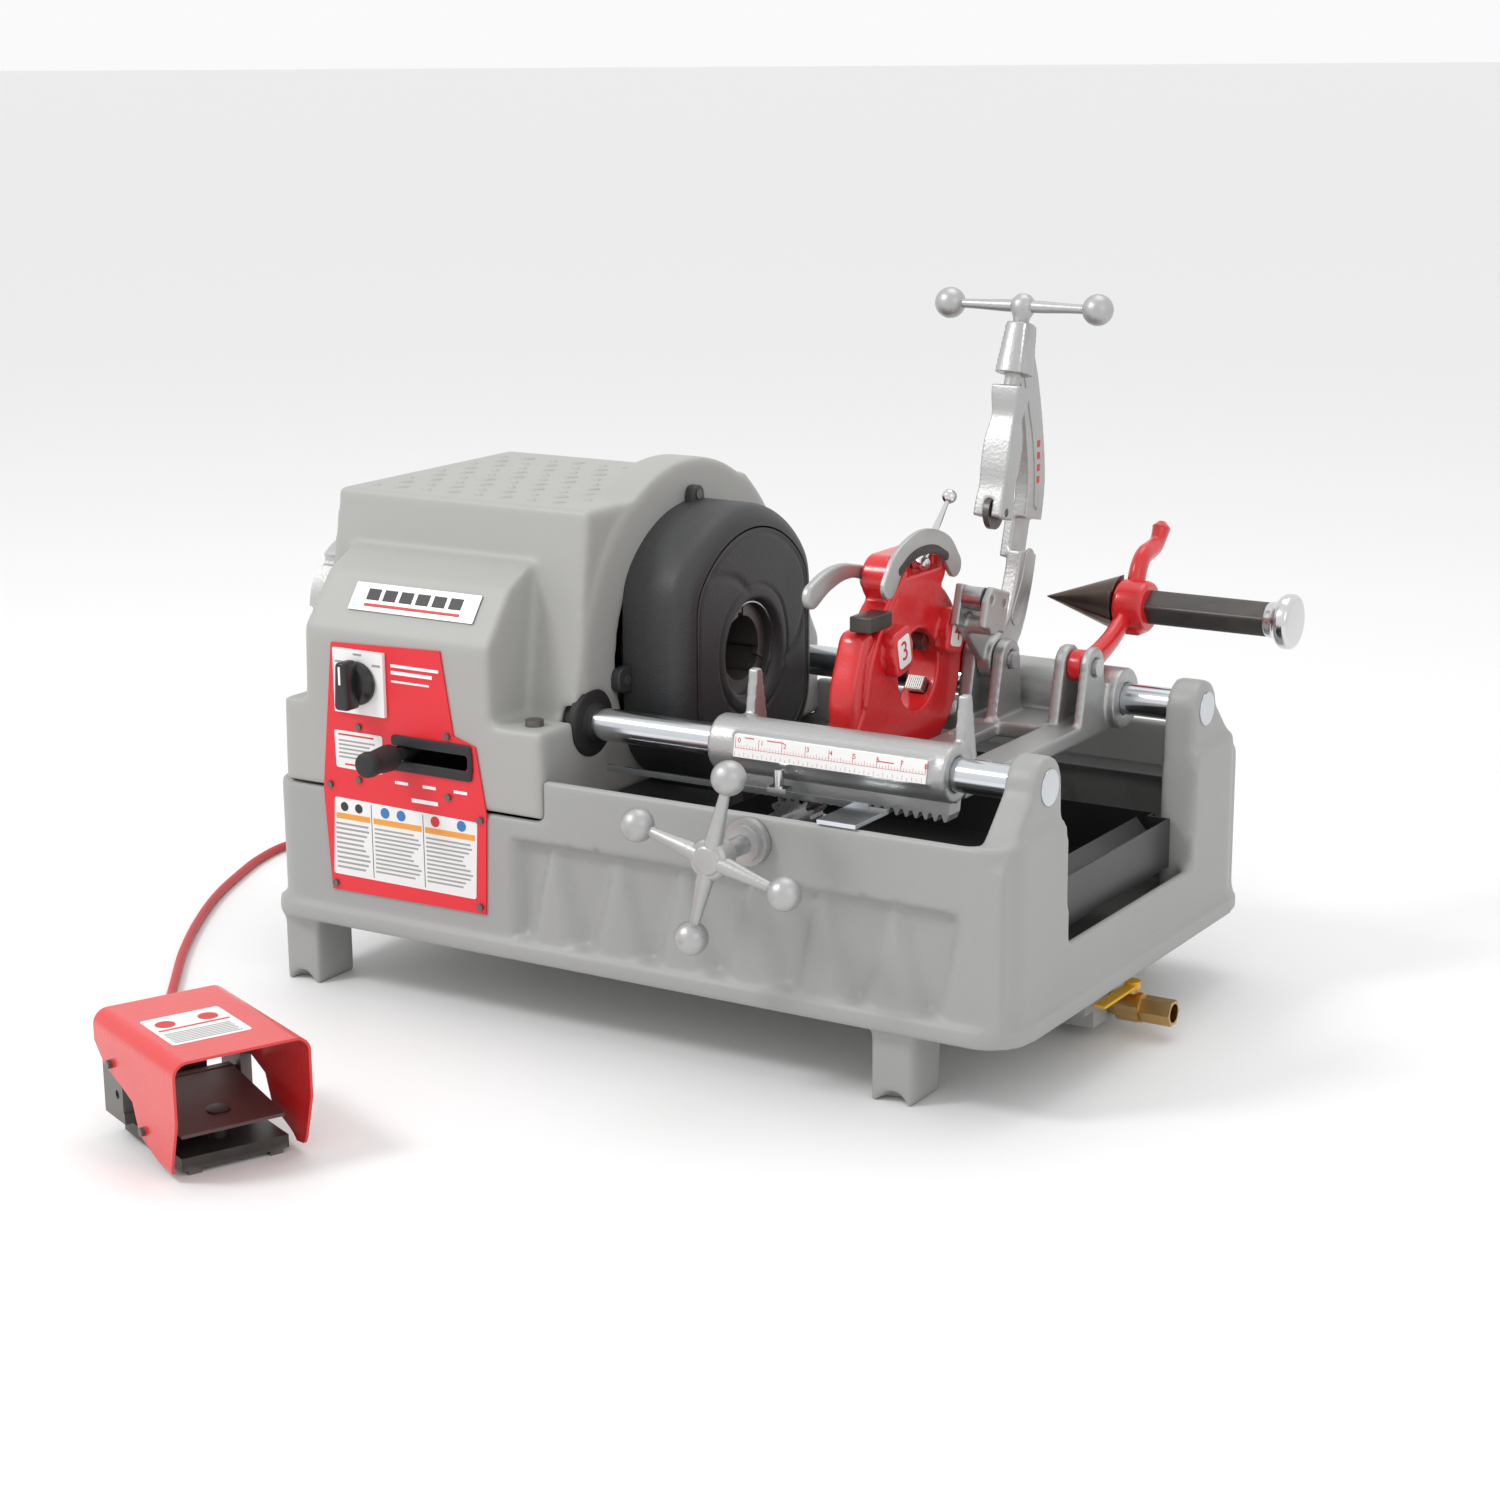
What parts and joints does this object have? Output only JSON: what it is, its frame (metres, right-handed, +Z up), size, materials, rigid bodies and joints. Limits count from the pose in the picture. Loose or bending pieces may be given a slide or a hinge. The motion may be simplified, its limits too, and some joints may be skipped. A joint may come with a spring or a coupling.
{
  "type": "pipe threading machine",
  "caption": "Bench pipe threading machine with chuck, sliding carriage, die head, pipe cutter, reamer, handwheel and foot switch.",
  "frame": {"origin": "on the floor, in the middle of the four feet", "axes": "+X along the pipe from the chuck to the open carriage end, operator at -Y, +Z up"},
  "size_m": [1.2047, 1.1208, 0.6948],
  "materials": {
    "base_paint": "satin grey paint over a rough casting",
    "cover_paint": "satin warm grey textured paint",
    "dark_plastic": "coarse charcoal grain",
    "black_sheet": "semi-gloss black",
    "red_enamel": "gloss red enamel",
    "panel_red": "printed red panel",
    "zinc_rail": "bright zinc-plated steel",
    "cast_aluminium": "rough cast, clear coated",
    "satin_steel": "satin",
    "polished_steel": "polished",
    "dark_steel": "black oxide",
    "die_steel": "ground tool steel",
    "brass": "machined brass",
    "valve_yellow": "yellow dipped grip",
    "black_rubber": "soft rubber",
    "knob_black": "satin black",
    "switch_white": "printed plate",
    "label_white": "printed scale",
    "pedal_brown": "brown paint",
    "cord_red": "red jacket",
    "cast_iron": "painted inside casting"
  },
  "bodies": {
    "machine": {"base_casting": "base_paint", "drain_sump": "base_paint", "drain_valve_body": "brass", "chip_tray": "black_sheet", "rear_ledge_plate": "satin_steel", "guide_rails": "zinc_rail", "headstock_frame": "cast_iron", "spindle_bearings": "satin_steel", "drive_motor": "dark_steel", "oil_pump": "cast_iron", "machine_cover": "cover_paint", "case_screws": "dark_steel", "chuck_cover": "dark_plastic", "nameplate": "satin_steel", "control_panel": "panel_red", "panel_screws": "dark_steel", "switch_plate": "switch_white", "gauge_bar": "zinc_rail", "handwheel_bush": "cast_aluminium", "foot_switch_base": "dark_steel", "foot_switch_hood": "red_enamel", "foot_cord": "cord_red", "cord_gland": "black_rubber"},
    "valve_lever": {"drain_valve_lever": "valve_yellow"},
    "motor_shaft": {"motor_pinion": "satin_steel"},
    "spindle": {"spindle": "dark_steel", "spindle_gear": "satin_steel"},
    "jaw_ring": {"jaw_ring": "satin_steel"},
    "jaw_1": {"chuck_jaw_1": "dark_steel"},
    "jaw_2": {"chuck_jaw_2": "dark_steel"},
    "jaw_3": {"chuck_jaw_3": "dark_steel"},
    "rear_wheel": {"rear_wheel": "cast_aluminium"},
    "rear_jaw_1": {"rear_jaw_1": "dark_steel"},
    "rear_jaw_2": {"rear_jaw_2": "dark_steel"},
    "rear_jaw_3": {"rear_jaw_3": "dark_steel"},
    "switch_knob": {"switch_knob": "knob_black"},
    "speed_lever": {"speed_lever": "black_rubber"},
    "gauge_pointer": {"gauge_pointer": "polished_steel"},
    "handwheel": {"handwheel": "cast_aluminium", "pinion_shaft": "satin_steel"},
    "carriage": {"carriage": "cast_aluminium", "thread_rack": "cast_aluminium", "length_scale": "label_white", "hinge_pins": "satin_steel"},
    "die_head": {"die_head_body": "red_enamel"},
    "throwout_lever": {"throwout_lever": "satin_steel"},
    "size_lever": {"size_lever": "polished_steel"},
    "die_1": {"die_1": "die_steel"},
    "die_2": {"die_2": "die_steel"},
    "die_3": {"die_3": "die_steel"},
    "die_4": {"die_4": "die_steel"},
    "cutter": {"cutter_frame": "cast_aluminium"},
    "cutter_slide": {"cutter_slide": "cast_aluminium"},
    "cutter_wheel": {"cutter_wheel": "dark_steel"},
    "feed_handle": {"feed_handle": "cast_aluminium"},
    "roller_1": {"cutter_roller_1": "satin_steel"},
    "roller_2": {"cutter_roller_2": "satin_steel"},
    "reamer_arm": {"reamer_arm": "red_enamel"},
    "reamer_bar": {"reamer_bar": "dark_steel"},
    "foot_pedal": {"foot_pedal": "pedal_brown"}
  },
  "joints": [
    {"name": "chuck_spin", "type": "hinge", "parent": "machine", "child": "spindle", "pos_m": [0, 0, 0.341], "axis": [1, 0, 0], "continuous": true},
    {"name": "motor_spin", "type": "hinge", "parent": "machine", "child": "motor_shaft", "pos_m": [0, 0.0836, 0.26572], "axis": [1, 0, 0], "continuous": true},
    {"name": "jaw_ring_turn", "type": "hinge", "parent": "spindle", "child": "jaw_ring", "pos_m": [0, 0, 0.341], "axis": [1, 0, 0], "range_deg": [0, 40]},
    {"name": "rear_wheel_turn", "type": "hinge", "parent": "spindle", "child": "rear_wheel", "pos_m": [0, 0, 0.341], "axis": [1, 0, 0], "range_deg": [0, 60]},
    {"name": "jaw_1_slide", "type": "slide", "parent": "spindle", "child": "jaw_1", "axis": [0, 0, -1], "range_m": [0, 0.0221]},
    {"name": "rear_jaw_1_slide", "type": "slide", "parent": "spindle", "child": "rear_jaw_1", "axis": [0, 0, -1], "range_m": [0, 0.0141]},
    {"name": "jaw_2_slide", "type": "slide", "parent": "spindle", "child": "jaw_2", "axis": [0, 0.866, 0.5], "range_m": [0, 0.0221]},
    {"name": "rear_jaw_2_slide", "type": "slide", "parent": "spindle", "child": "rear_jaw_2", "axis": [0, 0.866, 0.5], "range_m": [0, 0.0141]},
    {"name": "jaw_3_slide", "type": "slide", "parent": "spindle", "child": "jaw_3", "axis": [0, -0.866, 0.5], "range_m": [0, 0.0221]},
    {"name": "rear_jaw_3_slide", "type": "slide", "parent": "spindle", "child": "rear_jaw_3", "axis": [0, -0.866, 0.5], "range_m": [0, 0.0141]},
    {"name": "carriage_slide", "type": "slide", "parent": "machine", "child": "carriage", "axis": [1, 0, 0], "range_m": [-0.1, 0.045]},
    {"name": "handwheel_turn", "type": "hinge", "parent": "machine", "child": "handwheel", "pos_m": [0.2, -0.3, 0.22899], "axis": [0, 1, 0], "range_deg": [-242, 110]},
    {"name": "gauge_slide", "type": "slide", "parent": "machine", "child": "gauge_pointer", "axis": [1, 0, 0], "range_m": [-0.05, 0.06]},
    {"name": "die_head_swing", "type": "hinge", "parent": "carriage", "child": "die_head", "pos_m": [0.2, 0.112, 0.335], "axis": [-1, 0, 0], "range_deg": [0, 80]},
    {"name": "throwout_turn", "type": "hinge", "parent": "die_head", "child": "throwout_lever", "pos_m": [0.197, -0.024, 0.433], "axis": [-1, 0, 0], "range_deg": [0, 25]},
    {"name": "die_1_slide", "type": "slide", "parent": "die_head", "child": "die_1", "axis": [0, 0.788, 0.6157], "range_m": [0, 0.0061]},
    {"name": "die_2_slide", "type": "slide", "parent": "die_head", "child": "die_2", "axis": [0, -0.788, 0.6157], "range_m": [0, 0.0061]},
    {"name": "die_3_slide", "type": "slide", "parent": "die_head", "child": "die_3", "axis": [0, -0.788, -0.6157], "range_m": [0, 0.0061]},
    {"name": "die_4_slide", "type": "slide", "parent": "die_head", "child": "die_4", "axis": [0, 0.788, -0.6157], "range_m": [0, 0.0061]},
    {"name": "size_lever_turn", "type": "hinge", "parent": "die_head", "child": "size_lever", "pos_m": [0.231, 0.006, 0.445], "axis": [1, 0, 0], "range_deg": [0, 35]},
    {"name": "cutter_swing", "type": "hinge", "parent": "carriage", "child": "cutter", "pos_m": [0.25, 0.112, 0.335], "axis": [1, 0, 0], "range_deg": [0, 69]},
    {"name": "feed_turn", "type": "hinge", "parent": "cutter", "child": "feed_handle", "pos_m": [0.264, 0.142, 0.663], "axis": [0, -0.2838, -0.9589], "range_deg": [-1575, 0]},
    {"name": "feed_slide", "type": "slide", "parent": "cutter", "child": "cutter_slide", "axis": [0, -0.2838, -0.9589], "range_m": [0, 0.0221]},
    {"name": "cutter_wheel_spin", "type": "hinge", "parent": "cutter_slide", "child": "cutter_wheel", "pos_m": [0.264, 0.0894, 0.48526], "axis": [1, 0, 0], "continuous": true},
    {"name": "roller_1_spin", "type": "hinge", "parent": "cutter", "child": "roller_1", "pos_m": [0.264, 0.05151, 0.40658], "axis": [1, 0, 0], "continuous": true},
    {"name": "roller_2_spin", "type": "hinge", "parent": "cutter", "child": "roller_2", "pos_m": [0.264, 0.07836, 0.39863], "axis": [1, 0, 0], "continuous": true},
    {"name": "reamer_swing", "type": "hinge", "parent": "carriage", "child": "reamer_arm", "pos_m": [0.344, 0.124, 0.334], "axis": [1, 0, 0], "range_deg": [0, 157]},
    {"name": "reamer_bar_slide", "type": "slide", "parent": "reamer_arm", "child": "reamer_bar", "axis": [1, 0, 0], "range_m": [-0.09, 0]},
    {"name": "switch_turn", "type": "hinge", "parent": "machine", "child": "switch_knob", "pos_m": [-0.246, -0.264, 0.327], "axis": [0, -1, 0], "range_deg": [-45, 45]},
    {"name": "speed_slide", "type": "slide", "parent": "machine", "child": "speed_lever", "axis": [1, 0, 0], "range_m": [0, 0.072]},
    {"name": "valve_turn", "type": "hinge", "parent": "machine", "child": "valve_lever", "pos_m": [0.452, 0.03, 0.05], "axis": [0, 0, 1], "range_deg": [0, 90]},
    {"name": "pedal_press", "type": "hinge", "parent": "machine", "child": "foot_pedal", "pos_m": [-0.17032, -0.62545, 0.044], "axis": [0.4067, 0.9135, 0], "range_deg": [0, 7], "stiffness_Nm_per_rad": 2, "springref_deg": -17.19}
  ],
  "couplings": [
    {"joint": "motor_spin", "follows": "chuck_spin", "ratio": -4},
    {"joint": "jaw_1_slide", "follows": "jaw_ring_turn", "m_per_rad": 0.031513},
    {"joint": "rear_jaw_1_slide", "follows": "rear_wheel_turn", "m_per_rad": 0.013369},
    {"joint": "jaw_2_slide", "follows": "jaw_ring_turn", "m_per_rad": 0.031513},
    {"joint": "rear_jaw_2_slide", "follows": "rear_wheel_turn", "m_per_rad": 0.013369},
    {"joint": "jaw_3_slide", "follows": "jaw_ring_turn", "m_per_rad": 0.031513},
    {"joint": "rear_jaw_3_slide", "follows": "rear_wheel_turn", "m_per_rad": 0.013369},
    {"joint": "handwheel_turn", "follows": "carriage_slide", "rad_per_m": 41.995},
    {"joint": "die_1_slide", "follows": "throwout_turn", "m_per_rad": 0.013751},
    {"joint": "die_2_slide", "follows": "throwout_turn", "m_per_rad": 0.013751},
    {"joint": "die_3_slide", "follows": "throwout_turn", "m_per_rad": 0.013751},
    {"joint": "die_4_slide", "follows": "throwout_turn", "m_per_rad": 0.013751},
    {"joint": "feed_slide", "follows": "feed_turn", "m_per_rad": -0.0008}
  ]
}
